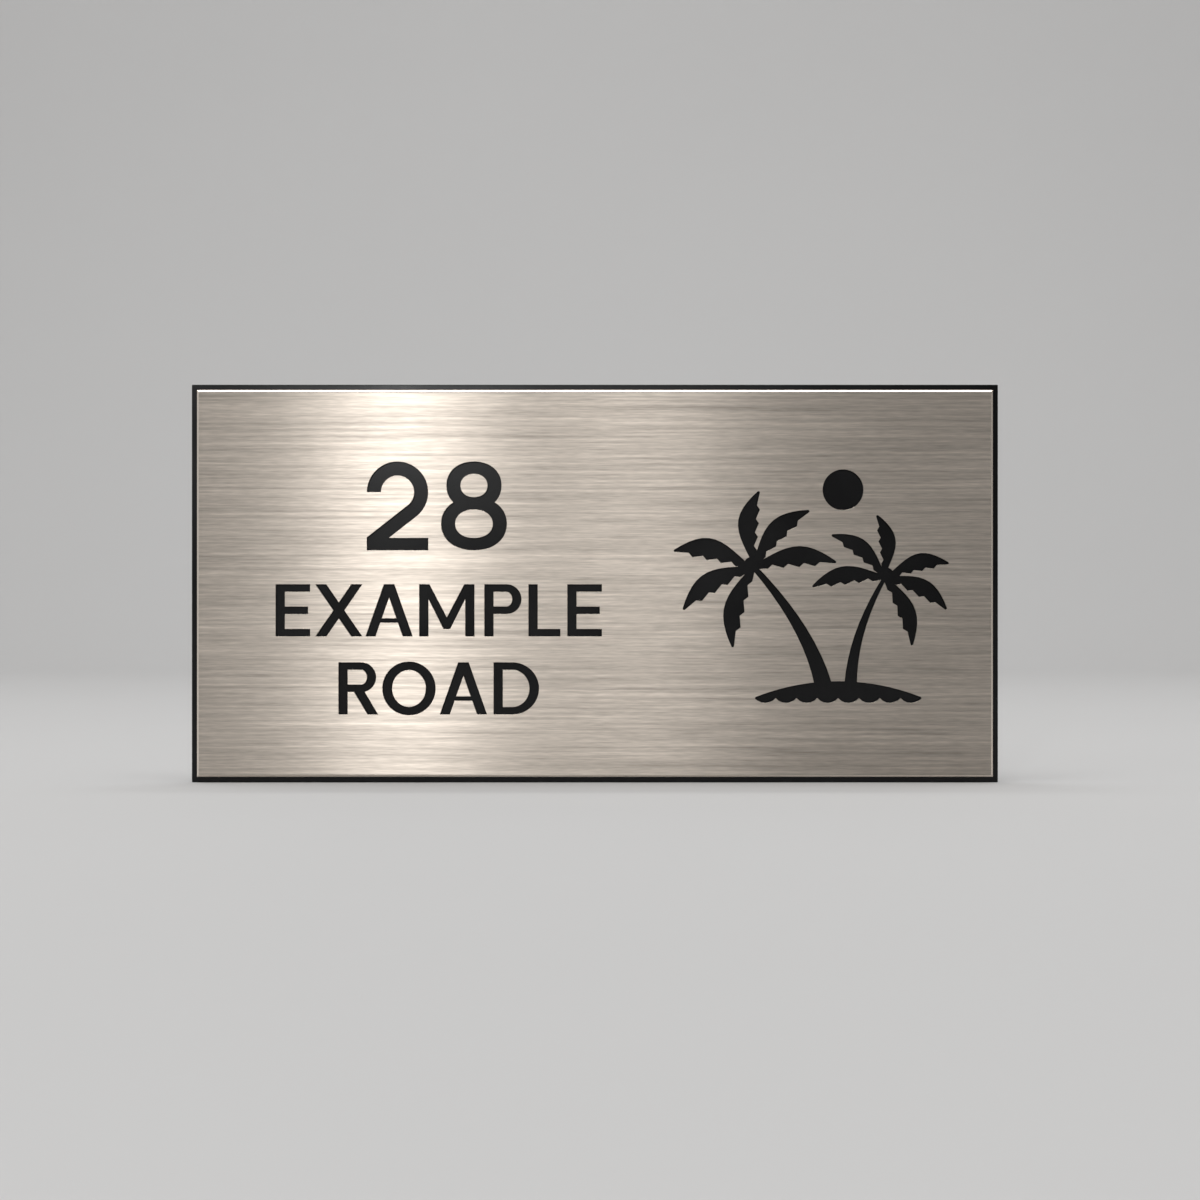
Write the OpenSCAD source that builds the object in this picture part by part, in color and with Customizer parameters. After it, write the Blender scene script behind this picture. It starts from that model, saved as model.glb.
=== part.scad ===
// Address sign: a brushed face plate, pierced with a house number and a palm
// scene, bonded to a dark panel that shows in the openings and as a thin rim.
// X runs along the sign, Z is up and the front faces -Y. The origin is the
// middle of the wall face of the centre strip of mounting tape.

/* [Back panel] */
// Width of the panel
panel_w = 300; // [250:1:400]
// Height of the panel
panel_h = 148; // [130:1:200]
// Thickness of the panel
panel_t = 3; // [2:0.5:6]

/* [Face plate] */
// Strip of the panel left bare round the plate
rim = 2; // [1:0.25:5]
// Thickness of the plate
face_t = 2; // [1.5:0.25:3]
// Width of the polished chamfer round the front
chamfer = 0.8; // [0.2:0.1:1.2]

/* [House number] */
// Height of the digits
digit_h = 33; // [26:0.5:36]
// Thickness of the level strokes
level_stroke = 4.6; // [3:0.1:5.5]
// Thickness of the upright and slanting strokes
upright_stroke = 5.2; // [3:0.1:6]
// Space between the two digits
digit_gap = 4.8; // [3:0.1:8]
// From the plate's left edge to the middle of the number
number_left = 89.3; // [60:0.1:95]
// From the plate's top edge to the top of the digits
number_top = 26.7; // [15:0.1:40]

/* [Palm scene] */
// From the plate's right edge to the middle of the island
scene_right = 57.6; // [50:0.1:65]
// From the plate's bottom edge to the water line of the island
scene_up = 29.4; // [15:0.1:34]
// Width of the island
island_w = 61.9; // [52:0.1:70]
// Height of the island above its water line
island_h = 6.3; // [5:0.1:9]
// Depth of the waves below the water line
wave_depth = 1.8; // [1:0.1:2.4]
// Radius of the sun
sun_r = 7.6; // [5:0.1:9]
// Height of the sun's centre above the water line
sun_up = 77.4; // [76:0.1:80]
// From the middle of the island to the sun's centre
sun_out = 1.8; // [-2:0.1:4]

/* [Palms] */
// Height of the left palm's crown above the water line
left_up = 49.8; // [48:0.1:52]
// From the middle of the island to the left palm's crown
left_out = 32.4; // [31:0.1:36]
// Length of the left palm's longest fronds
left_frond = 31.7; // [26:0.1:32]
// Width of the left trunk at its foot
left_trunk = 6.9; // [4:0.1:8]
// Height of the right palm's crown above the water line
right_up = 45.9; // [42:0.1:47]
// From the middle of the island to the right palm's crown
right_out = 18; // [17:0.1:22]
// Length of the right palm's longest fronds
right_frond = 28; // [22:0.1:29]
// Width of the right trunk at its foot
right_trunk = 5.1; // [3:0.1:6]
// From the middle of the island to the foot of either trunk
foot_out = 4.6; // [4:0.1:8]
// Radius of the hub that the fronds grow from
hub_r = 2.6; // [2:0.1:3.5]
// Radius of the rounded tips of the fronds and of the island
tip_r = 0.5; // [0.3:0.1:0.8]

/* [Mounting tape] */
// Width of each strip of tape
tape_w = 25; // [12:1:40]
// Height of each strip of tape
tape_h = 120; // [60:1:124]
// Thickness of the tape
tape_t = 1.1; // [0.8:0.1:2]
// From the panel's ends to the outer strips
tape_inset = 14; // [4:1:30]

/* [Hidden] */

face_w = panel_w - 2 * rim;
face_h = panel_h - 2 * rim;
panel_y = -tape_t;
face_y = panel_y - panel_t;
outer_tape_x = (panel_w - tape_w) / 2 - tape_inset;

// The digits: widths as parts of their height
two_w = 0.69 * digit_h;
eight_top_w = 0.62 * digit_h;
eight_base_w = 0.74 * digit_h;
number_w = two_w + digit_gap + eight_base_w;
number_x = number_left - face_w / 2;
number_z = face_h / 2 - number_top - digit_h;
two_x = number_x - number_w / 2;
eight_x = number_x + (number_w - eight_base_w) / 2;
// Where the bowl of the 2 runs into its diagonal
two_turn = -52;
// How square the ovals of the 8 are, where 2 is an ellipse
squareness = 2.15;
// The counters of the 8 share what its three level strokes leave
counters_h = digit_h - 3 * level_stroke;
upper_counter_h = 0.45 * counters_h;
lower_counter_h = counters_h - upper_counter_h;
lower_counter_z = level_stroke + lower_counter_h / 2;
upper_counter_z = digit_h - level_stroke - upper_counter_h / 2;

// The fronds: parts of a frond's length. The first one of each side arches most,
// and each starts below the hub's centre, on its toothed side.
first_arch = 0.235;
arch_fall = 0.018;
arch_skew = 1.15;
drop = 0.03;
teeth = 4;
tooth_first = 0.75;
tooth_pitch = 0.185;
tooth_lead = 0.055;
tooth_depth = 0.036;
notch_depth = 0.008;
root_depth = 0.03;
tip_turn = 50;
tip_steps = 4;
// Each side of a crown: the first frond's angle above the level, the angle from
// one frond to the next, and the part by which each is shorter than the next
left_inner = [84, 41.3, 0.07];
left_outer = [10, 43.7, 0.04];
right_inner = [81, 45, 0.1];
right_outer = [10.5, 40.3, 0.08];
// How far each trunk's bend leans from above its foot towards its crown
left_lean = 0.15;
right_lean = -0.05;
bend_up = 0.485;
// Width of a trunk at its crown, as a part of that at its foot
top_part = 0.28;

// The island: its waves, and the angle at which its rounded ends meet them
waves = 8;
end_turn = -30;
scene_x = face_w / 2 - scene_right;
scene_z = scene_up - face_h / 2;

// Steps along the curves
bowl_steps = 28;
oval_steps = 40;
frond_steps = 12;
trunk_steps = 10;
wave_steps = 6;
island_steps = 20;

function arc(centre, r, from, to, steps) =
    [for (i = [0:steps]) let (a = from + (to - from) * i / steps) centre + r * [cos(a), sin(a)]];

function bent(v) = sign(v) * pow(abs(v), 2 / squareness);

// Oval with slightly square shoulders, about a point on the digit's centre line
function oval(w, h, z) =
    [for (i = [0:oval_steps - 1])
        let (a = 360 * i / oval_steps)
        [w / 2 * bent(cos(a)), z + h / 2 * bent(sin(a))]];

// Point of a frond at the part u of its length l, and h of it off its axis
function on_frond(l, u, h) = l * [u, h - drop * (1 - u)];

// Frond along +X: a smooth back above, a rounded tip and a toothed edge below
function frond(l, arch) = concat(
    [for (i = [0:frond_steps - 1])
        let (u = i / frond_steps)
        on_frond(l, u, arch * sin(180 * pow(u, arch_skew))) + [0, tip_r * sin(tip_turn)]],
    arc([l - tip_r, 0], tip_r, tip_turn, -90, tip_steps),
    [for (i = [0:teeth - 1])
        let (u = tooth_first - i * tooth_pitch)
        each [on_frond(l, u + tooth_lead, notch_depth), on_frond(l, u, -tooth_depth)]],
    [on_frond(l, 0, -root_depth)]
);

// One side of a crown of three fronds, the first one uppermost
module fronds(l, side) {
    for (i = [0:2])
        rotate(side[0] - i * side[1])
            polygon(frond(l * (1 - (2 - i) * side[2]), first_arch - i * arch_fall));
}

// Crown of a palm whose inner side is on the right
module crown(l, inner, outer) {
    circle(r = hub_r, $fn = 48);
    fronds(l, inner);
    mirror([1, 0]) fronds(l, outer);
}

// Trunk along a curve from the crown to the foot, pulled towards the bend
module trunk(crown, foot, w, lean) {
    bend = foot + [lean * (crown.x - foot.x), bend_up * (crown.y - foot.y)];
    function middle(t) = (1 - t) * (1 - t) * crown + 2 * t * (1 - t) * bend + t * t * foot;
    function way(t) = (1 - t) * (bend - crown) + t * (foot - bend);
    function across(t) = w / 2 * (top_part + (1 - top_part) * t) * [-way(t).y, way(t).x] / norm(way(t));
    polygon(concat(
        [for (i = [0:trunk_steps]) let (t = i / trunk_steps) middle(t) + across(t)],
        [for (i = [trunk_steps:-1:0]) let (t = i / trunk_steps) middle(t) - across(t)]
    ));
}

// Island: a shallow arch with rounded ends over a row of waves
module island() {
    pitch = island_w / waves;
    half = island_w / 2 - tip_r;
    rise = island_h - tip_r;
    back_r = (half * half + rise * rise) / (2 * rise);
    back_turn = asin(half / back_r);
    wave_r = (pitch * pitch / 4 + wave_depth * wave_depth) / (2 * wave_depth);
    wave_turn = asin(pitch / 2 / wave_r);
    polygon(concat(
        arc([0, rise - back_r], back_r + tip_r, 90 + back_turn, 90 - back_turn, island_steps),
        arc([half, 0], tip_r, 90 - back_turn, end_turn, tip_steps),
        [for (k = [waves - 1:-1:0])
            let (x = (k + 0.5) * pitch - island_w / 2)
            for (i = [k == waves - 1 ? 1 : 0:wave_steps - 1])
            let (a = wave_turn * (1 - 2 * i / wave_steps))
            [x + wave_r * sin(a), wave_r * (1 - cos(a)) - wave_depth]],
        arc([-half, 0], tip_r, 180 - end_turn, 90 + back_turn, tip_steps)
    ));
}

module palm_scene() {
    left_crown = [-left_out, left_up];
    right_crown = [right_out, right_up];
    island();
    trunk(left_crown, [-foot_out, tip_r], left_trunk, left_lean);
    trunk(right_crown, [foot_out, tip_r], right_trunk, right_lean);
    translate(left_crown) crown(left_frond, left_inner, left_outer);
    translate(right_crown) mirror([1, 0]) crown(right_frond, right_inner, right_outer);
    translate([sun_out, sun_up]) circle(r = sun_r, $fn = 96);
}

module digit_two() {
    r = two_w / 2;
    bowl = [r, digit_h - r];
    way = [cos(two_turn), sin(two_turn)];
    outer = bowl + r * way;
    inner = bowl + (r - upright_stroke) * way;
    slope = -way.x / way.y;
    polygon(concat(
        arc(bowl, r, 180, two_turn, bowl_steps),
        [
            [outer.x - (outer.y - level_stroke) / slope, level_stroke],
            [two_w, level_stroke],
            [two_w, 0],
            [0, 0],
            [0, inner.y - inner.x * slope]
        ],
        arc(bowl, r - upright_stroke, two_turn, 180, bowl_steps)
    ));
}

module digit_eight_outside() {
    polygon(oval(eight_top_w, upper_counter_h + 2 * level_stroke, upper_counter_z));
    polygon(oval(eight_base_w, lower_counter_h + 2 * level_stroke, lower_counter_z));
}

module upper_counter() {
    polygon(oval(eight_top_w - 2 * upright_stroke, upper_counter_h, upper_counter_z));
}

module lower_counter() {
    polygon(oval(eight_base_w - 2 * upright_stroke, lower_counter_h, lower_counter_z));
}

// Stands a flat drawing up and gives it a depth, from y forwards
module upright(y, depth) {
    translate([0, y, 0]) rotate([90, 0, 0]) linear_extrude(depth) children();
}

// Corners of a section of the plate, with its front corners cut off
function chamfered(w) = [
    [-w / 2, 0],
    [w / 2, 0],
    [w / 2, face_t - chamfer],
    [w / 2 - chamfer, face_t],
    [chamfer - w / 2, face_t],
    [-w / 2, face_t - chamfer]
];

// The plate before it is pierced: its level and upright sections, crossed
module blank() {
    translate([0, face_y, 0]) intersection() {
        mirror([0, 1, 0]) linear_extrude(face_h, center = true) polygon(chamfered(face_w));
        rotate([90, 0, 90]) linear_extrude(face_w, center = true)
            rotate(90) polygon(chamfered(face_h));
    }
}

module face_plate() {
    color("silver") difference() {
        blank();
        upright(face_y + face_t, 3 * face_t) {
            translate([two_x, number_z]) digit_two();
            translate([eight_x, number_z]) digit_eight_outside();
            translate([scene_x, scene_z]) palm_scene();
        }
    }
}

module number_island_upper() {
    color("silver") upright(face_y, face_t) translate([eight_x, number_z]) upper_counter();
}

module number_island_lower() {
    color("silver") upright(face_y, face_t) translate([eight_x, number_z]) lower_counter();
}

module back_panel() {
    color([0.06, 0.06, 0.06])
        translate([-panel_w / 2, face_y, -panel_h / 2])
            cube([panel_w, panel_t, panel_h]);
}

// Strip of tape centred at x
module tape(x) {
    color([0.8, 0.8, 0.78])
        translate([x - tape_w / 2, panel_y, -tape_h / 2])
            cube([tape_w, tape_t, tape_h]);
}

module tape_left() {
    tape(-outer_tape_x);
}

module tape_centre() {
    tape(0);
}

module tape_right() {
    tape(outer_tape_x);
}

face_plate();
number_island_upper();
number_island_lower();
back_panel();
tape_left();
tape_centre();
tape_right();
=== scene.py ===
"""Dresses the address sign: cuts its lettering, finishes its sheets and sets up the studio.

The sign is a brushed steel face on a dark acrylic panel. +X runs along it, to the
right as it is read, +Z is up and its front faces -Y. Every length is in metres.
"""

import math

import bmesh
import bpy
from bpy.props import FloatProperty, FloatVectorProperty, PointerProperty, StringProperty
from mathutils import Matrix, Vector


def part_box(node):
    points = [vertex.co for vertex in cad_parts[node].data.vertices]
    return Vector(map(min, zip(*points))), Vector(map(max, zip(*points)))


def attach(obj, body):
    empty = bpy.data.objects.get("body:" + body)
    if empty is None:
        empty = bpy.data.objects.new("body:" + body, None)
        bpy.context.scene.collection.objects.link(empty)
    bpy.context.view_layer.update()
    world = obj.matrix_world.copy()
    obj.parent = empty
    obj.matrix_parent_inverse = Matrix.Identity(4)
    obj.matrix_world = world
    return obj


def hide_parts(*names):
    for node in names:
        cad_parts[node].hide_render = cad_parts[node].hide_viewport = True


bl_info = {
    "name": "Address sign",
    "version": (1, 0, 0),
    "blender": (4, 5, 0),
    "location": "View3D > Sidebar > Sign",
    "description": "Cuts and finishes a brushed steel address sign and lights it",
    "category": "Object",
}

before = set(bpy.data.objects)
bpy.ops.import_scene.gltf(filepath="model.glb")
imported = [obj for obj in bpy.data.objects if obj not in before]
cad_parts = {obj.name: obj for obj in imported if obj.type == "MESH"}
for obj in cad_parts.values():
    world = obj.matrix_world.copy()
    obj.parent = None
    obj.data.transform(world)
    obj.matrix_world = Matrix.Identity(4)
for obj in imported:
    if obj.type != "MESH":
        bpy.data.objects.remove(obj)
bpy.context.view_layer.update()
FACE_LOW, FACE_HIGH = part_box("face_plate")
PANEL_LOW, PANEL_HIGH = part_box("back_panel")
BODY = "root"

# The panel as it lies in the photograph, as parts of the picture's width
PANEL_SPAN = 806.2 / 1200
PANEL_CENTRE = (594.9 / 1200, 583.5 / 1200)


class SignLettering(bpy.types.PropertyGroup):
    """What is cut in the face plate, and how large"""

    first_line: StringProperty(
        name="First line", description="Letters cut in the upper line", default="EXAMPLE"
    )
    second_line: StringProperty(
        name="Second line", description="Letters cut in the lower line", default="ROAD"
    )
    cap_height: FloatProperty(
        name="Capital height", description="Height of the capitals", default=0.0194, unit="LENGTH"
    )
    stem: FloatProperty(
        name="Stem", description="Width of an upright stroke", default=0.0034, unit="LENGTH"
    )
    bar: FloatProperty(
        name="Bar", description="Height of a level stroke", default=0.0028, unit="LENGTH"
    )
    from_left: FloatProperty(
        name="From the left",
        description="From the plate's left edge to the middle of the words",
        default=0.09,
        unit="LENGTH",
    )
    from_foot: FloatProperty(
        name="From the foot",
        description="From the plate's bottom edge to the lower baseline",
        default=0.0233,
        unit="LENGTH",
    )
    line_pitch: FloatProperty(
        name="Line pitch", description="From one baseline to the next", default=0.029, unit="LENGTH"
    )


class SignFinish(bpy.types.PropertyGroup):
    """Colours of the materials, and the sizes of brush marks and worked edges"""

    steel_light: FloatVectorProperty(
        name="Light steel",
        description="Steel on the crests of the brushing",
        default=(0.65, 0.58, 0.507),
        subtype="COLOR",
        min=0,
        max=1,
    )
    steel_dark: FloatVectorProperty(
        name="Dark steel",
        description="Steel in the troughs of the brushing",
        default=(0.4, 0.357, 0.312),
        subtype="COLOR",
        min=0,
        max=1,
    )
    acrylic: FloatVectorProperty(
        name="Acrylic",
        description="Colour of the back panel",
        default=(0.002, 0.002, 0.0022),
        subtype="COLOR",
        min=0,
        max=1,
    )
    foam: FloatVectorProperty(
        name="Foam",
        description="Colour of the mounting tape",
        default=(0.62, 0.62, 0.6),
        subtype="COLOR",
        min=0,
        max=1,
    )
    stroke_length: FloatProperty(
        name="Stroke length", description="Length of a long brush stroke", default=0.11, unit="LENGTH"
    )
    stroke_height: FloatProperty(
        name="Stroke height", description="Height of a long brush stroke", default=0.0012, unit="LENGTH"
    )
    sway: FloatProperty(
        name="Sway", description="How far the strokes wander up and down", default=0.0008, unit="LENGTH"
    )
    chamfer_softness: FloatProperty(
        name="Chamfer softness",
        description="Width of the curve along the polished chamfer",
        default=0.00025,
        unit="LENGTH",
    )
    edge_break: FloatProperty(
        name="Edge break",
        description="Width of the broken edge round the cut-outs",
        default=0.00005,
        unit="LENGTH",
    )
    panel_edge: FloatProperty(
        name="Panel edge",
        description="Radius of the panel's flame-polished edges",
        default=0.00035,
        unit="LENGTH",
    )


class SignStage(bpy.types.PropertyGroup):
    """The camera's lens, the floor's colour and the brightness of the lights"""

    lens: FloatProperty(name="Lens", description="Focal length in millimetres", default=85, min=1)
    sensor: FloatProperty(
        name="Sensor", description="Width of the sensor in millimetres", default=36, min=1
    )
    floor: FloatVectorProperty(
        name="Floor",
        description="Colour of the floor and backdrop",
        default=(0.64, 0.635, 0.63),
        subtype="COLOR",
        min=0,
        max=1,
    )
    band_light: FloatProperty(
        name="Band light", description="Brightness of the light of the bright band", default=29, min=0
    )
    second_light: FloatProperty(
        name="Second light",
        description="Brightness of the light of the fainter band",
        default=5.3,
        min=0,
    )
    top_light: FloatProperty(
        name="Top light", description="Brightness of the light overhead", default=2.7, min=0
    )
    backdrop_light: FloatProperty(
        name="Backdrop light",
        description="Brightness of the light on the backdrop",
        default=5,
        min=0,
    )
    dim_side: FloatProperty(
        name="Dim side", description="Brightness of the room on the right", default=0.13, min=0
    )
    bright_side: FloatProperty(
        name="Bright side", description="Brightness of the room on the left", default=0.42, min=0
    )


def add_node(tree, kind, inputs=None, **settings):
    """Adds a node, with its settings and with values or links for its inputs."""
    node = tree.nodes.new(kind)
    for name, value in settings.items():
        setattr(node, name, value)
    for key, value in (inputs or {}).items():
        if isinstance(value, bpy.types.NodeSocket):
            tree.links.new(value, node.inputs[key])
        else:
            node.inputs[key].default_value = value
    return node


def calculate(tree, operation, first, second=0.0):
    """Output of a Math node."""
    return add_node(tree, "ShaderNodeMath", {0: first, 1: second}, operation=operation).outputs[0]


def calculate_vector(tree, operation, first, second):
    """Output of a Vector Math node."""
    node = add_node(tree, "ShaderNodeVectorMath", {0: first, 1: second}, operation=operation)
    return node.outputs[0]


def mix_value(tree, factor, first, second):
    """Output of a Mix node for numbers."""
    node = add_node(tree, "ShaderNodeMix", {0: factor, 2: first, 3: second}, data_type="FLOAT")
    return node.outputs[0]


def mix_colour(tree, factor, first, second):
    """Output of a Mix node for colours."""
    node = add_node(tree, "ShaderNodeMix", {0: factor, 6: first, 7: second}, data_type="RGBA")
    return node.outputs[2]


def new_group(name, inputs, outputs):
    """Starts a shader node group and returns its tree, input node and output node."""
    tree = bpy.data.node_groups.new(name, "ShaderNodeTree")
    for label, kind, default in inputs:
        socket = tree.interface.new_socket(label, in_out="INPUT", socket_type=kind)
        if default is not None:
            socket.default_value = default
    for label, kind in outputs:
        tree.interface.new_socket(label, in_out="OUTPUT", socket_type=kind)
    return tree, tree.nodes.new("NodeGroupInput"), tree.nodes.new("NodeGroupOutput")


def stretched(tree, position, length, height, detail):
    """Noise drawn out along X into strokes of a given length and height."""
    along = calculate(tree, "DIVIDE", 1.0, length)
    across = calculate(tree, "DIVIDE", 1.0, height)
    scale = add_node(tree, "ShaderNodeCombineXYZ", {"X": along, "Y": across, "Z": across}).outputs[0]
    place = calculate_vector(tree, "MULTIPLY", position, scale)
    noise = add_node(
        tree, "ShaderNodeTexNoise", {"Vector": place, "Scale": 1.0, "Detail": detail, "Roughness": 0.5}
    )
    return noise.outputs["Fac"]


def brushing_group():
    """Brush marks along X: broad bands, strokes and hairlines, each about 0.5 on average."""
    name = "Brush marks"
    if name in bpy.data.node_groups:
        return bpy.data.node_groups[name]
    tree, source, target = new_group(
        name,
        [
            ("Position", "NodeSocketVector", None),
            ("Length", "NodeSocketFloat", 0.1),
            ("Height", "NodeSocketFloat", 0.001),
            ("Sway", "NodeSocketFloat", 0.001),
        ],
        [
            ("Bands", "NodeSocketFloat"),
            ("Strokes", "NodeSocketFloat"),
            ("Hairlines", "NodeSocketFloat"),
        ],
    )
    position, length, height, sway = list(source.outputs)[:4]

    def times(value, factor):
        return calculate(tree, "MULTIPLY", value, factor)

    def marks(place, length_part, height_part, detail=1.0):
        """Marks whose length and height are parts of a long stroke's."""
        return stretched(tree, place, times(length, length_part), times(height, height_part), detail)

    drift = marks(position, length_part=0.5, height_part=7.0, detail=0.0)
    shift = calculate(tree, "MULTIPLY", calculate(tree, "SUBTRACT", drift, 0.5), sway)
    moved = add_node(tree, "ShaderNodeCombineXYZ", {"Z": shift}).outputs[0]
    swayed = calculate_vector(tree, "ADD", position, moved)

    bands = marks(swayed, length_part=1.2, height_part=4.0)
    long_strokes = stretched(tree, swayed, length, height, 1.0)
    short_strokes = marks(swayed, length_part=0.16, height_part=0.6)
    hairlines = marks(position, length_part=0.05, height_part=0.3)
    long_share = 0.6
    strokes = calculate(
        tree, "ADD", times(long_strokes, long_share), times(short_strokes, 1 - long_share)
    )
    tree.links.new(bands, target.inputs["Bands"])
    tree.links.new(strokes, target.inputs["Strokes"])
    tree.links.new(hairlines, target.inputs["Hairlines"])
    return tree


def zones_group():
    """Masks of the front, the chamfers and the cut walls, told apart by the way they face."""
    name = "Sheet zones"
    if name in bpy.data.node_groups:
        return bpy.data.node_groups[name]
    tree, source, target = new_group(
        name,
        [("Facing", "NodeSocketVector", None)],
        [("Front", "NodeSocketFloat"), ("Chamfer", "NodeSocketFloat"), ("Wall", "NodeSocketFloat")],
    )
    front_above, wall_below = 0.95, 0.3
    facing = add_node(tree, "ShaderNodeSeparateXYZ", {0: source.outputs["Facing"]}).outputs["Y"]
    forward = calculate(tree, "ABSOLUTE", facing)
    front = calculate(tree, "GREATER_THAN", forward, front_above)
    wall = calculate(tree, "LESS_THAN", forward, wall_below)
    rest = calculate(tree, "SUBTRACT", 1.0, calculate(tree, "ADD", front, wall))
    tree.links.new(front, target.inputs["Front"])
    tree.links.new(rest, target.inputs["Chamfer"])
    tree.links.new(wall, target.inputs["Wall"])
    return tree


def cut_edge_group():
    """Fine ridges that a cutting beam leaves across a sheet's edge, along Y."""
    name = "Cut edge"
    if name in bpy.data.node_groups:
        return bpy.data.node_groups[name]
    tree, source, target = new_group(
        name,
        [("Position", "NodeSocketVector", None), ("Pitch", "NodeSocketFloat", 0.0002)],
        [("Ridges", "NodeSocketFloat")],
    )
    change_along_y = 0.06
    fine = calculate(tree, "DIVIDE", 1.0, source.outputs["Pitch"])
    slow = calculate(tree, "MULTIPLY", fine, change_along_y)
    scale = add_node(tree, "ShaderNodeCombineXYZ", {"X": fine, "Y": slow, "Z": fine}).outputs[0]
    place = calculate_vector(tree, "MULTIPLY", source.outputs["Position"], scale)
    noise = add_node(tree, "ShaderNodeTexNoise", {"Vector": place, "Scale": 1.0, "Detail": 2.0})
    tree.links.new(noise.outputs["Fac"], target.inputs["Ridges"])
    return tree


def new_material(name):
    """An empty material and its tree, Principled node and object coordinates."""
    material = bpy.data.materials.new(name)
    material.use_nodes = True
    tree = material.node_tree
    shader = tree.nodes["Principled BSDF"]
    coordinates = tree.nodes.new("ShaderNodeTexCoord")
    return material, tree, shader, coordinates


def add_group(tree, group, inputs):
    """Places a node group in a material."""
    return add_node(tree, "ShaderNodeGroup", inputs, node_tree=group)


def remap(tree, value, low, high):
    """Takes noise, which lies within a spread of 0.5, to the range from low to high."""
    spread = 0.2
    inputs = {
        "Value": value,
        "From Min": 0.5 - spread,
        "From Max": 0.5 + spread,
        "To Min": low,
        "To Max": high,
    }
    return add_node(tree, "ShaderNodeMapRange", inputs).outputs[0]


def scaled(colour, part):
    """A lighter or darker shade of a colour, as a node takes it."""
    return (*[part * value for value in colour], 1)


def steel_material(finish):
    """Brushed steel: streaked fronts, polished chamfers and dull, ridged cut walls."""
    material, tree, shader, coordinates = new_material("Brushed steel")
    position = coordinates.outputs["Object"]
    marks = add_group(
        tree,
        brushing_group(),
        {
            "Position": position,
            "Length": finish.stroke_length,
            "Height": finish.stroke_height,
            "Sway": finish.sway,
        },
    )
    zones = add_group(tree, zones_group(), {"Facing": coordinates.outputs["Normal"]})
    ridges = add_group(tree, cut_edge_group(), {"Position": position})

    trough, crest = scaled(finish.steel_dark, 1), scaled(finish.steel_light, 1)
    struck = mix_colour(tree, remap(tree, marks.outputs["Strokes"], 0, 1), trough, crest)
    hair_tones, band_tones = (0.9, 1.1), (0.94, 1.06)
    tone = calculate(
        tree,
        "MULTIPLY",
        remap(tree, marks.outputs["Hairlines"], *hair_tones),
        remap(tree, marks.outputs["Bands"], *band_tones),
    )
    toned = add_node(tree, "ShaderNodeVectorMath", {0: struck, "Scale": tone}, operation="SCALE")
    brushed = toned.outputs[0]
    polished = scaled(finish.steel_light, 1.35)
    edged = mix_colour(tree, zones.outputs["Chamfer"], brushed, polished)
    sooty, scorched = scaled(finish.steel_dark, 0.25), scaled(finish.steel_dark, 0.45)
    wall = mix_colour(tree, ridges.outputs["Ridges"], sooty, scorched)
    tree.links.new(mix_colour(tree, zones.outputs["Wall"], edged, wall), shader.inputs["Base Color"])

    trough_rough, crest_rough = 0.345, 0.33
    smoother_chamfer, rougher_wall = -0.14, 0.25
    brushed_rough = remap(tree, marks.outputs["Strokes"], trough_rough, crest_rough)
    polish = calculate(tree, "MULTIPLY", zones.outputs["Chamfer"], smoother_chamfer)
    dullness = calculate(tree, "MULTIPLY", zones.outputs["Wall"], rougher_wall)
    change = calculate(tree, "ADD", polish, dullness)
    tree.links.new(calculate(tree, "ADD", brushed_rough, change), shader.inputs["Roughness"])

    stroke_relief, hair_relief = 0.25, 0.3
    mark_height = calculate(
        tree,
        "ADD",
        calculate(tree, "MULTIPLY", marks.outputs["Strokes"], stroke_relief),
        calculate(tree, "MULTIPLY", marks.outputs["Hairlines"], hair_relief),
    )
    front_height = calculate(tree, "MULTIPLY", mark_height, zones.outputs["Front"])
    wall_height = calculate(tree, "MULTIPLY", ridges.outputs["Ridges"], zones.outputs["Wall"])
    height = calculate(tree, "ADD", front_height, wall_height)
    bump = add_node(tree, "ShaderNodeBump", {"Height": height, "Strength": 0.2, "Distance": 0.0001})
    tree.links.new(bump.outputs[0], shader.inputs["Normal"])
    # On the front this tangent runs along the brushing, and a quarter turn draws
    # highlights out across it
    tangent = add_node(tree, "ShaderNodeTangent", direction_type="RADIAL", axis="Z")
    tree.links.new(tangent.outputs[0], shader.inputs["Tangent"])
    shader.inputs["Metallic"].default_value = 1
    shader.inputs["Anisotropic"].default_value = 1
    shader.inputs["Anisotropic Rotation"].default_value = 0.25
    return material


def acrylic_material(finish):
    """Glossy acrylic: a flat dark sheet with faint smears and a ridged edge."""
    material, tree, shader, coordinates = new_material("Gloss acrylic")
    position = coordinates.outputs["Object"]
    zones = add_group(tree, zones_group(), {"Facing": coordinates.outputs["Normal"]})
    ridges = add_group(tree, cut_edge_group(), {"Position": position, "Pitch": 0.0004})
    smears = add_node(tree, "ShaderNodeTexNoise", {"Vector": position, "Scale": 35.0, "Detail": 5.0})
    clean, smeared = scaled(finish.acrylic, 1), scaled(finish.acrylic, 3)
    colour = mix_colour(tree, smears.outputs["Fac"], clean, smeared)
    tree.links.new(colour, shader.inputs["Base Color"])
    clean_rough, smeared_rough, rougher_edge = 0.16, 0.24, 0.15
    rough = remap(tree, smears.outputs["Fac"], clean_rough, smeared_rough)
    edge = calculate(tree, "MULTIPLY", zones.outputs["Wall"], rougher_edge)
    tree.links.new(calculate(tree, "ADD", rough, edge), shader.inputs["Roughness"])
    height = calculate(tree, "MULTIPLY", ridges.outputs["Ridges"], zones.outputs["Wall"])
    bump = add_node(tree, "ShaderNodeBump", {"Height": height, "Strength": 0.15, "Distance": 0.0001})
    tree.links.new(bump.outputs[0], shader.inputs["Normal"])
    shader.inputs["Specular IOR Level"].default_value = 0.25
    return material


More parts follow.
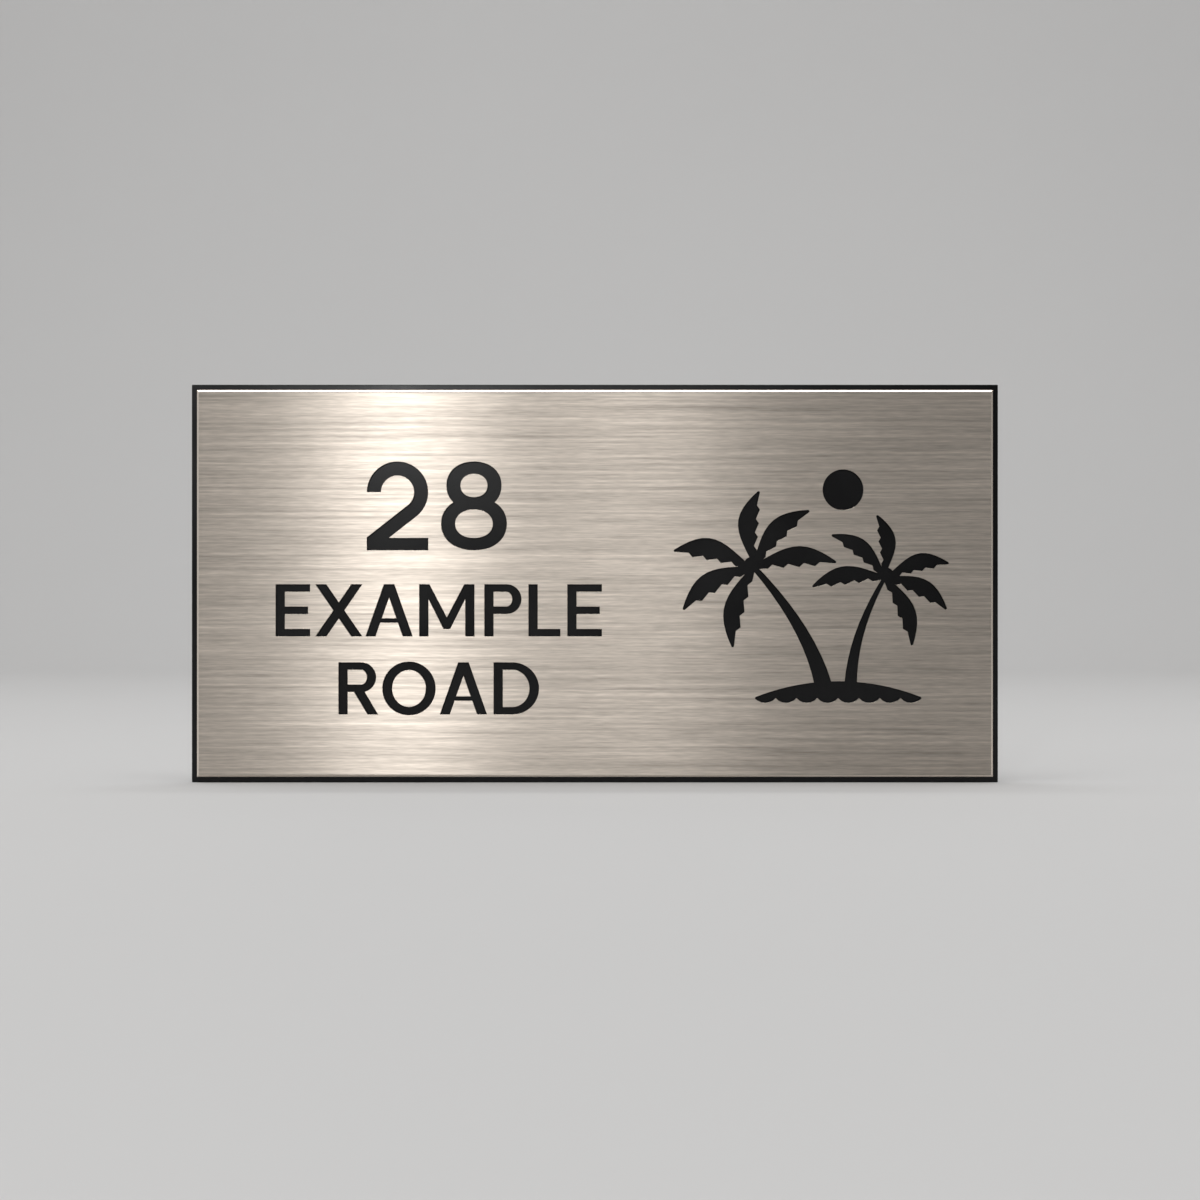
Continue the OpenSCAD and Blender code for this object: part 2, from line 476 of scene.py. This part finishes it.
def foam_material(finish):
    """Foam tape: closed cells at its edges, with painted shade in their pits, under smooth, slightly
    rippled adhesive.
    """
    material, tree, shader, coordinates = new_material("Foam tape")
    position = coordinates.outputs["Object"]
    zones = add_group(tree, zones_group(), {"Facing": coordinates.outputs["Normal"]})
    adhesive = zones.outputs["Front"]
    cells = add_node(tree, "ShaderNodeTexVoronoi", {"Vector": position, "Scale": 4000.0})
    ripples = add_node(tree, "ShaderNodeTexNoise", {"Vector": position, "Scale": 140.0, "Detail": 3.0})
    red, green, blue = finish.foam
    glazed = (0.97 * red, 0.97 * green, 0.92 * blue, 1)
    # Each cell is darker towards its middle, where the bump dips: painted shade in the cells' pits
    plain, pit_shade = scaled(finish.foam, 1), scaled(finish.foam, 0.82)
    cell_pit_shade = mix_colour(tree, cells.outputs["Distance"], pit_shade, plain)
    glue_tone = mix_colour(tree, remap(tree, ripples.outputs["Fac"], 0, 1), glazed, plain)
    tree.links.new(mix_colour(tree, adhesive, cell_pit_shade, glue_tone), shader.inputs["Base Color"])
    foam_rough, wet_rough, dry_rough = 0.9, 0.28, 0.45
    glue_rough = remap(tree, ripples.outputs["Fac"], wet_rough, dry_rough)
    tree.links.new(mix_value(tree, adhesive, foam_rough, glue_rough), shader.inputs["Roughness"])
    height = mix_value(tree, adhesive, cells.outputs["Distance"], ripples.outputs["Fac"])
    bump = add_node(tree, "ShaderNodeBump", {"Height": height, "Strength": 0.3, "Distance": 0.0002})
    tree.links.new(bump.outputs[0], shader.inputs["Normal"])
    return material


def material_named(name, build, finish):
    """The material of that name, built the first time it is asked for."""
    return bpy.data.materials.get(name) or build(finish)


def arc(centre, radii, start, end, steps):
    """Points of an arc of an ellipse, with its ends, from one angle to another in degrees."""
    angles = [math.radians(start + (end - start) * i / steps) for i in range(steps + 1)]
    return [(centre[0] + radii[0] * math.cos(a), centre[1] + radii[1] * math.sin(a)) for a in angles]


class Letters:
    """Outlines of capitals, in the widths and strokes of one alphabet.

    Each letter gives its width, its outline and the outlines of its closed
    counters. X runs to the right from its left edge and Y up from its baseline.
    Widths and places are parts of the capital height, h, and of the strokes.
    """

    STEPS = 24

    def __init__(self, height, stem, bar):
        self.height = height
        self.stem = stem
        self.bar = bar
        self.slant = 1.08 * stem
        self.thin = 0.085 * height

    def letter_e(self):
        h, stem, bar = self.height, self.stem, self.bar
        width = 0.66 * h
        tongue = 0.62 * h
        low, high = 0.5 * (h - bar), 0.5 * (h + bar)
        outline = [
            (0, 0), (width, 0), (width, bar), (stem, bar), (stem, low), (tongue, low),
            (tongue, high), (stem, high), (stem, h - bar), (width, h - bar), (width, h), (0, h),
        ]
        return width, outline, []

    def letter_l(self):
        h, stem, bar = self.height, self.stem, self.bar
        width = 0.61 * h
        return width, [(0, 0), (width, 0), (width, bar), (stem, bar), (stem, h), (0, h)], []

    def letter_x(self):
        h = self.height
        width = 0.9 * h
        foot = 1.2 * self.stem
        middle = width / 2
        notch = (middle - foot) * h / (width - foot)
        outline = [
            (0, 0), (foot, 0), (middle, notch), (width - foot, 0), (width, 0),
            ((width + foot) / 2, h / 2), (width, h), (width - foot, h), (middle, h - notch),
            (foot, h), (0, h), ((width - foot) / 2, h / 2),
        ]
        return width, outline, []

    def letter_a(self):
        h = self.height
        width = 0.905 * h
        foot = self.slant
        top = 0.2 * h
        lean = (width - top) / 2 / h
        low = 0.263 * h
        high = low + self.thin
        peak = (width / 2 - foot) / lean
        outline = [
            (0, 0), (foot, 0), (foot + lean * low, low), (width - foot - lean * low, low),
            (width - foot, 0), (width, 0), ((width + top) / 2, h), ((width - top) / 2, h),
        ]
        counter = [(foot + lean * high, high), (width - foot - lean * high, high), (width / 2, peak)]
        return width, outline, [counter]

    def letter_m(self):
        h, stem = self.height, self.stem
        width = 1.056 * h
        shoulder = 0.194 * h
        armpit = 0.72 * h
        notch = 0.366 * h
        point, half_point = 0.142 * h, 0.0625 * h
        middle = width / 2
        outline = [
            (0, 0), (stem, 0), (stem, armpit), (middle - half_point, point),
            (middle + half_point, point), (width - stem, armpit), (width - stem, 0), (width, 0),
            (width, h), (width - shoulder, h), (middle, notch), (shoulder, h), (0, h),
        ]
        return width, outline, []

    def bowl(self, width):
        """The middle and radius of an upper bowl, and the outline of its counter."""
        radius = 0.285 * self.height
        centre = (width - radius, self.height - radius)
        inner = radius - self.bar
        across = radius - self.stem
        counter = [(self.stem, centre[1] - inner)]
        counter += arc(centre, (across, inner), -90, 90, self.STEPS)
        counter += [(self.stem, centre[1] + inner)]
        return centre, radius, counter

    def letter_p(self):
        h, stem = self.height, self.stem
        width = 0.71 * h
        centre, radius, counter = self.bowl(width)
        outline = [(0, 0), (stem, 0), (stem, centre[1] - radius)]
        outline += arc(centre, (radius, radius), -90, 90, self.STEPS)
        outline += [(0, h)]
        return width, outline, [counter]

    def letter_r(self):
        h, stem = self.height, self.stem
        width = 0.76 * h
        centre, radius, counter = self.bowl(0.72 * h)
        under = centre[1] - radius
        foot = 1.14 * stem
        knee = 0.3 * h
        meet = -math.degrees(math.acos((knee + foot - centre[0]) / radius))
        outline = [(0, 0), (stem, 0), (stem, under), (knee, under), (width - foot, 0), (width, 0)]
        outline += arc(centre, (radius, radius), meet, 90, self.STEPS)
        outline += [(0, h)]
        return width, outline, [counter]

    def letter_o(self):
        h = self.height
        side, crown = 1.06 * self.stem, 1.12 * self.bar
        radii = (0.51 * h, 0.515 * h)
        centre = (radii[0], h / 2)
        inner = (radii[0] - side, radii[1] - crown)
        outline = arc(centre, radii, 0, 360, 2 * self.STEPS)[:-1]
        counter = arc(centre, inner, 0, 360, 2 * self.STEPS)[:-1]
        return 2 * radii[0], outline, [counter]

    def letter_d(self):
        h, stem, bar = self.height, self.stem, self.bar
        width = 0.87 * h
        side = 1.04 * stem
        centre = (0.36 * h, h / 2)
        radii = (width - centre[0], h / 2)
        outline = [(0, 0)] + arc(centre, radii, -90, 90, self.STEPS) + [(0, h)]
        counter = [(stem, bar)]
        counter += arc(centre, (radii[0] - side, radii[1] - bar), -90, 90, self.STEPS)
        counter += [(stem, h - bar)]
        return width, outline, [counter]

    def draw(self, letter):
        """Width, outline and counters of one letter."""
        drawings = {
            "A": self.letter_a, "D": self.letter_d, "E": self.letter_e,
            "L": self.letter_l, "M": self.letter_m, "O": self.letter_o,
            "P": self.letter_p, "R": self.letter_r, "X": self.letter_x,
        }
        return drawings[letter]()


# Room beside a letter, on its left and right, as parts of the capital height
SIDE_ROOM = {
    "A": (0.03, 0.03), "D": (0.095, 0.05), "E": (0.095, 0.07), "L": (0.095, 0.04), "M": (0.095, 0.095),
    "O": (0.05, 0.05), "P": (0.095, 0.04), "R": (0.095, 0.03), "X": (0.03, 0.03),
}


def placed(points, x, z):
    """Points moved to the right by x and up by z."""
    return [(x + px, z + pz) for px, pz in points]


def set_line(word, letters, centre_x, baseline):
    """Outlines and counters of a word, centred on centre_x."""
    drawn = [letters.draw(letter) for letter in word]
    gaps = [
        letters.height * (SIDE_ROOM[left][1] + SIDE_ROOM[right][0])
        for left, right in zip(word, word[1:])
    ]
    x = centre_x - (sum(width for width, _, _ in drawn) + sum(gaps)) / 2
    outlines, counters = [], []
    for (width, outline, inner), gap in zip(drawn, gaps + [0]):
        outlines.append(placed(outline, x, baseline))
        counters += [placed(points, x, baseline) for points in inner]
        x += width + gap
    return outlines, counters


def all_lines(lettering):
    """Outlines and counters of both lines."""
    letters = Letters(lettering.cap_height, lettering.stem, lettering.bar)
    centre_x = FACE_LOW.x + lettering.from_left
    low = FACE_LOW.z + lettering.from_foot
    upper = set_line(lettering.first_line, letters, centre_x, low + lettering.line_pitch)
    lower = set_line(lettering.second_line, letters, centre_x, low)
    return upper[0] + lower[0], upper[1] + lower[1]


def bevel_edges(work, edges, width, segments):
    """Bevels some of a mesh's edges."""
    bmesh.ops.bevel(
        work,
        geom=edges,
        offset=width,
        offset_type="OFFSET",
        segments=segments,
        profile=0.5,
        affect="EDGES",
        material=-1,
        clamp_overlap=True,
    )


def rounded_sheet(low, high, radius):
    """Mesh of a sheet with small rounded edges."""
    place = Matrix.Translation((low + high) / 2) @ Matrix.Diagonal((*(high - low), 1))
    work = bmesh.new()
    bmesh.ops.create_cube(work, size=1, matrix=place)
    bevel_edges(work, list(work.edges), radius, segments=4)
    mesh = bpy.data.meshes.new("sheet")
    work.to_mesh(mesh)
    work.free()
    return mesh


def foam_strip(low, high, film, tuck, bulge):
    """Mesh of a tape strip: foam that is tucked in and bulges between two adhesive films."""
    steps = 8
    size = high - low
    corner = 0.04 * size.x
    core = size.y - 2 * film
    # Each level is a distance from the wall and how far in the strip's sides are there
    levels = [(0, 0), (film, 0)]
    for part in (i / steps for i in range(steps + 1)):
        levels.append((film + core * part, tuck - bulge * math.sin(math.pi * part)))
    levels += [(size.y - film, 0), (size.y, 0)]

    work = bmesh.new()
    bmesh.ops.create_grid(work, x_segments=1, y_segments=1, size=0.5)
    bmesh.ops.transform(work, matrix=Matrix.Diagonal((size.x, size.z, 1, 1)), verts=work.verts)
    bmesh.ops.bevel(
        work,
        geom=work.verts,
        offset=corner,
        offset_type="OFFSET",
        segments=4,
        profile=0.5,
        affect="VERTICES",
        material=-1,
    )
    top = list(work.faces)[0]
    for (start, before), (end, after) in zip(levels, levels[1:]):
        grown = bmesh.ops.extrude_face_region(work, geom=[top, *top.edges])["geom"]
        top = next(part for part in grown if isinstance(part, bmesh.types.BMFace))
        narrower = [(side - 2 * after) / (side - 2 * before) for side in (size.x, size.z)]
        bmesh.ops.transform(work, matrix=Matrix.Diagonal((*narrower, 1, 1)), verts=top.verts)
        bmesh.ops.translate(work, vec=(0, 0, end - start), verts=top.verts)
    bmesh.ops.recalc_face_normals(work, faces=work.faces)
    upright = Matrix.Translation(((low.x + high.x) / 2, high.y, (low.z + high.z) / 2))
    upright @= Matrix.Rotation(math.radians(90), 4, "X")
    bmesh.ops.transform(work, matrix=upright, verts=work.verts)
    mesh = bpy.data.meshes.new("strip")
    work.to_mesh(mesh)
    work.free()
    return mesh


def evaluated_mesh(thing):
    """A new mesh of an object as its modifiers leave it."""
    bpy.context.view_layer.update()
    graph = bpy.context.evaluated_depsgraph_get()
    return bpy.data.meshes.new_from_object(thing.evaluated_get(graph))


def weld(mesh):
    """Merges a mesh's doubles, joins its flat triangles and points its faces outwards."""
    doubles, flatness = 1e-6, math.radians(0.05)
    if mesh.has_custom_normals:
        mesh.attributes.remove(mesh.attributes["custom_normal"])
    work = bmesh.new()
    work.from_mesh(mesh)
    bmesh.ops.remove_doubles(work, verts=work.verts, dist=doubles)
    bmesh.ops.dissolve_limit(work, angle_limit=flatness, verts=work.verts, edges=work.edges)
    bmesh.ops.recalc_face_normals(work, faces=work.faces)
    work.to_mesh(mesh)
    work.free()


def stand_up(outlines, depth):
    """Mesh of flat outlines, stood up in the middle of the face's thickness and given a depth."""
    curve = bpy.data.curves.new("outlines", "CURVE")
    curve.dimensions = "2D"
    curve.fill_mode = "BOTH"
    curve.extrude = depth / 2
    for outline in outlines:
        spline = curve.splines.new("POLY")
        spline.points.add(len(outline) - 1)
        for point, (x, y) in zip(spline.points, outline):
            point.co = (x, y, 0, 1)
        spline.use_cyclic_u = True
    drawn = bpy.data.objects.new("outlines", curve)
    bpy.context.scene.collection.objects.link(drawn)
    mesh = evaluated_mesh(drawn)
    bpy.data.objects.remove(drawn)
    bpy.data.curves.remove(curve)
    middle = (FACE_LOW.y + FACE_HIGH.y) / 2
    mesh.transform(Matrix.Translation((0, middle, 0)) @ Matrix.Rotation(math.radians(90), 4, "X"))
    weld(mesh)
    return mesh


def closed_runs(edges):
    """Sorts edges into runs that hang together, always in the same order."""
    left = dict.fromkeys(edges)
    while left:
        run = [next(iter(left))]
        del left[run[0]]
        for edge in run:
            beside = [other for vertex in edge.verts for other in vertex.link_edges if other in left]
            for other in beside:
                del left[other]
            run += beside
        yield run


def finish_edges(mesh, finish):
    """Breaks the front edges of the cut-outs, one after another, and softens the outer chamfer."""
    chamfer_turn, slack = math.radians(45), math.radians(5)
    fold = math.radians(170)
    upright_below, flat_above = 0.1, 0.9
    front = FACE_LOW.y + finish.edge_break / 10
    work = bmesh.new()
    work.from_mesh(mesh)
    bmesh.ops.dissolve_degenerate(work, dist=finish.edge_break, edges=work.edges)
    # A point thinner than the edge break is folded flat on itself now, and comes off
    folded = [edge for edge in work.edges if edge.calc_face_angle() > fold]
    bmesh.ops.dissolve_edges(work, edges=folded, use_verts=True)
    chamfer = [
        edge
        for edge in work.edges
        if math.isclose(edge.calc_face_angle(), chamfer_turn, abs_tol=slack)
        and any(upright_below < abs(face.normal.y) < flat_above for face in edge.link_faces)
    ]
    bevel_edges(work, chamfer, finish.chamfer_softness, segments=3)
    rims = [
        edge
        for edge in work.edges
        if all(vertex.co.y < front for vertex in edge.verts)
        and any(abs(face.normal.y) < upright_below for face in edge.link_faces)
    ]
    for run in list(closed_runs(rims)):
        bevel_edges(work, run, finish.edge_break, segments=1)
    work.to_mesh(mesh)
    work.free()


def new_piece(name, mesh, material):
    """Adds a finished piece that rides with the sign, smooth but for its real corners."""
    corner = math.radians(25)
    mesh.materials.clear()
    mesh.materials.append(material)
    mesh.shade_smooth()
    mesh.set_sharp_from_angle(angle=corner)
    piece = bpy.data.objects.new(name, mesh)
    bpy.context.scene.collection.objects.link(piece)
    flats = piece.modifiers.new("Flat faces", "WEIGHTED_NORMAL")
    flats.keep_sharp = True
    piece.data = evaluated_mesh(piece)
    piece.modifiers.clear()
    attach(piece, BODY)
    return piece


class SIGN_OT_face(bpy.types.Operator):
    """Cut the two lines of lettering through the face plate"""

    bl_idname = "sign.face"
    bl_label = "Lettered face"

    def execute(self, context):
        scene = context.scene
        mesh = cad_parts["face_plate"].data.copy()
        weld(mesh)
        thickness = FACE_HIGH.y - FACE_LOW.y
        outlines, _ = all_lines(scene.sign_lettering)
        cutter = bpy.data.objects.new("cutter", stand_up(outlines, 2 * thickness))
        scene.collection.objects.link(cutter)
        blank = bpy.data.objects.new("blank", mesh)
        scene.collection.objects.link(blank)
        cut = blank.modifiers.new("Lettering", "BOOLEAN")
        cut.operation = "DIFFERENCE"
        cut.solver = "EXACT"
        cut.object = cutter
        lettered = evaluated_mesh(blank)
        bpy.data.objects.remove(blank)
        bpy.data.objects.remove(cutter)
        weld(lettered)
        finish_edges(lettered, scene.sign_finish)
        steel = material_named("Brushed steel", steel_material, scene.sign_finish)
        piece = new_piece("lettered_face_plate", lettered, steel)
        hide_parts("face_plate")
        return {"FINISHED"}


class SIGN_OT_islands(bpy.types.Operator):
    """Make the loose counters of the letters and finish those of the number"""

    bl_idname = "sign.islands"
    bl_label = "Loose islands"

    def execute(self, context):
        scene = context.scene
        steel = material_named("Brushed steel", steel_material, scene.sign_finish)
        thickness = FACE_HIGH.y - FACE_LOW.y
        _, counters = all_lines(scene.sign_lettering)
        for number, counter in enumerate(counters, start=1):
            mesh = stand_up([counter], thickness)
            finish_edges(mesh, scene.sign_finish)
            new_piece(f"letter_island_{number}", mesh, steel)
        for place in ("upper", "lower"):
            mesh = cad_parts[f"number_island_{place}"].data.copy()
            weld(mesh)
            finish_edges(mesh, scene.sign_finish)
            piece = new_piece(f"number_counter_{place}", mesh, steel)
            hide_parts(f"number_island_{place}")
        return {"FINISHED"}


class SIGN_OT_panel(bpy.types.Operator):
    """Finish the back panel in glossy acrylic"""

    bl_idname = "sign.panel"
    bl_label = "Back panel"

    def execute(self, context):
        finish = context.scene.sign_finish
        acrylic = material_named("Gloss acrylic", acrylic_material, finish)
        mesh = rounded_sheet(PANEL_LOW, PANEL_HIGH, finish.panel_edge)
        panel = new_piece("acrylic_panel", mesh, acrylic)
        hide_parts("back_panel")
        return {"FINISHED"}


class SIGN_OT_tape(bpy.types.Operator):
    """Finish the strips of mounting tape"""

    bl_idname = "sign.tape"
    bl_label = "Mounting tape"

    def execute(self, context):
        film, tuck, bulge = 0.00006, 0.0003, 0.00025
        foam = material_named("Foam tape", foam_material, context.scene.sign_finish)
        for place in ("left", "centre", "right"):
            mesh = foam_strip(*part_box(f"tape_{place}"), film, tuck, bulge)
            strip = new_piece(f"foam_strip_{place}", mesh, foam)
            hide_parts(f"tape_{place}")
        return {"FINISHED"}


def floor_material(colour):
    """Pale paper with the faintest mottle."""
    material, tree, shader, coordinates = new_material("Studio floor")
    position = coordinates.outputs["Object"]
    mottle = add_node(tree, "ShaderNodeTexNoise", {"Vector": position, "Scale": 3.0, "Detail": 2.0})
    plain, paler = scaled(colour, 1), scaled(colour, 1.02)
    mottled = mix_colour(tree, mottle.outputs["Fac"], plain, paler)
    tree.links.new(mottled, shader.inputs["Base Color"])
    shader.inputs["Roughness"].default_value = 0.9
    shader.inputs["Specular IOR Level"].default_value = 0.1
    return material


def add_floor(colour):
    """A floor that the sign stands on, which curves up into a backdrop well behind it."""
    half_width, front, foot, radius, top = 6.0, -6.0, 1.6, 0.8, 4.0
    steps = 16
    level = PANEL_LOW.z
    section = [(front, level)]
    section += arc((foot, level + radius), (radius, radius), -90, 0, steps)
    section += [(foot + radius, top)]
    work = bmesh.new()
    edge = [work.verts.new((-half_width, y, z)) for y, z in section]
    lines = [work.edges.new(pair) for pair in zip(edge, edge[1:])]
    swept = bmesh.ops.extrude_edge_only(work, edges=lines)["geom"]
    moved = [part for part in swept if isinstance(part, bmesh.types.BMVert)]
    bmesh.ops.translate(work, vec=(2 * half_width, 0, 0), verts=moved)
    bmesh.ops.recalc_face_normals(work, faces=work.faces)
    mesh = bpy.data.meshes.new("floor")
    work.to_mesh(mesh)
    work.free()
    mesh.shade_smooth()
    floor = bpy.data.objects.new("floor", mesh)
    mesh.materials.append(floor_material(colour))
    bpy.context.scene.collection.objects.link(floor)


def add_light(name, place, target, size, brightness):
    """A rectangular light of a given brightness, turned towards its target."""
    light = bpy.data.lights.new(name, "AREA")
    light.shape = "RECTANGLE"
    light.size, light.size_y = size
    light.energy = math.pi * size[0] * size[1] * brightness
    lamp = bpy.data.objects.new(name, light)
    lamp.location = place
    lamp.rotation_euler = (Vector(target) - Vector(place)).to_track_quat("-Z", "Y").to_euler()
    bpy.context.scene.collection.objects.link(lamp)


def set_world(dim, bright):
    """A soft room that is brighter on the left, and a little towards both sides."""
    bright_until, dim_from = -0.25, 0.15
    side_lift = 0.2
    world = bpy.context.scene.world or bpy.data.worlds.new("Studio")
    bpy.context.scene.world = world
    world.use_nodes = True
    tree = world.node_tree
    direction = add_node(tree, "ShaderNodeTexCoord").outputs["Generated"]
    side = add_node(tree, "ShaderNodeSeparateXYZ", {0: direction}).outputs["X"]
    change = {
        "Value": side,
        "From Min": bright_until,
        "From Max": dim_from,
        "To Min": bright,
        "To Max": dim,
    }
    level = add_node(tree, "ShaderNodeMapRange", change).outputs[0]
    outwards = calculate(tree, "MULTIPLY", calculate(tree, "MULTIPLY", side, side), side_lift)
    background = tree.nodes["Background"]
    tree.links.new(calculate(tree, "ADD", level, outwards), background.inputs["Strength"])
    background.inputs["Color"].default_value = (1, 1, 1, 1)


class SIGN_OT_stage(bpy.types.Operator):
    """Set up the floor, the lights and the camera of the photograph's view"""

    bl_idname = "sign.stage"
    bl_label = "Stage"

    def execute(self, context):
        scene = context.scene
        stage = scene.sign_stage
        add_floor(stage.floor)
        set_world(stage.dim_side, stage.bright_side)
        # The first two stand where the brushed face mirrors them as upright bands
        add_light(
            "band_light",
            place=(-0.179, -1.5, 0.39),
            target=(-0.07, 0, 0),
            size=(0.05, 0.48),
            brightness=stage.band_light,
        )
        add_light(
            "second_light",
            place=(0.042, -1.5, 0.48),
            target=(0.02, 0, 0),
            size=(0.1, 0.56),
            brightness=stage.second_light,
        )
        add_light(
            "top_light",
            place=(0, -0.2, 1.6),
            target=(0, 0, 0),
            size=(1.4, 1.2),
            brightness=stage.top_light,
        )
        add_light(
            "backdrop_light",
            place=(0, 0.9, 2.4),
            target=(0, 2.4, 0.4),
            size=(2.4, 0.6),
            brightness=stage.backdrop_light,
        )

        picture_width = (PANEL_HIGH.x - PANEL_LOW.x) / PANEL_SPAN
        distance = stage.lens / stage.sensor * picture_width
        centre = (PANEL_LOW + PANEL_HIGH) / 2
        camera = bpy.data.cameras.new("camera")
        camera.lens = stage.lens
        camera.sensor_width = stage.sensor
        camera.clip_start = 0.05
        viewer = bpy.data.objects.new("camera", camera)
        viewer.location = (
            centre.x + (0.5 - PANEL_CENTRE[0]) * picture_width,
            PANEL_LOW.y - distance,
            centre.z - (0.5 - PANEL_CENTRE[1]) * picture_width,
        )
        viewer.rotation_euler = (math.radians(90), 0, 0)
        scene.collection.objects.link(viewer)
        scene.camera = viewer
        scene.view_settings.view_transform = "Standard"
        return {"FINISHED"}


class VIEW3D_PT_sign(bpy.types.Panel):
    """Sizes, finishes and steps of the address sign"""

    bl_label = "Address sign"
    bl_space_type = "VIEW_3D"
    bl_region_type = "UI"
    bl_category = "Sign"

    def draw(self, context):
        layout = self.layout
        for name in SETTINGS:
            group = getattr(context.scene, name)
            box = layout.box()
            for setting in group.__annotations__:
                box.prop(group, setting)
        for operator in OPERATORS:
            layout.operator(operator.bl_idname)


SETTINGS = {
    "sign_lettering": SignLettering,
    "sign_finish": SignFinish,
    "sign_stage": SignStage,
}
OPERATORS = (SIGN_OT_face, SIGN_OT_islands, SIGN_OT_panel, SIGN_OT_tape, SIGN_OT_stage)


def register():
    for cls in (*SETTINGS.values(), *OPERATORS, VIEW3D_PT_sign):
        bpy.utils.register_class(cls)
    for name, cls in SETTINGS.items():
        setattr(bpy.types.Scene, name, PointerProperty(type=cls))


def unregister():
    for name in SETTINGS:
        delattr(bpy.types.Scene, name)
    for cls in (VIEW3D_PT_sign, *OPERATORS, *SETTINGS.values()):
        bpy.utils.unregister_class(cls)


def main():
    register()
    bpy.ops.sign.face()
    bpy.ops.sign.islands()
    bpy.ops.sign.panel()
    bpy.ops.sign.tape()
    bpy.ops.sign.stage()


if __name__ == "__main__":
    main()
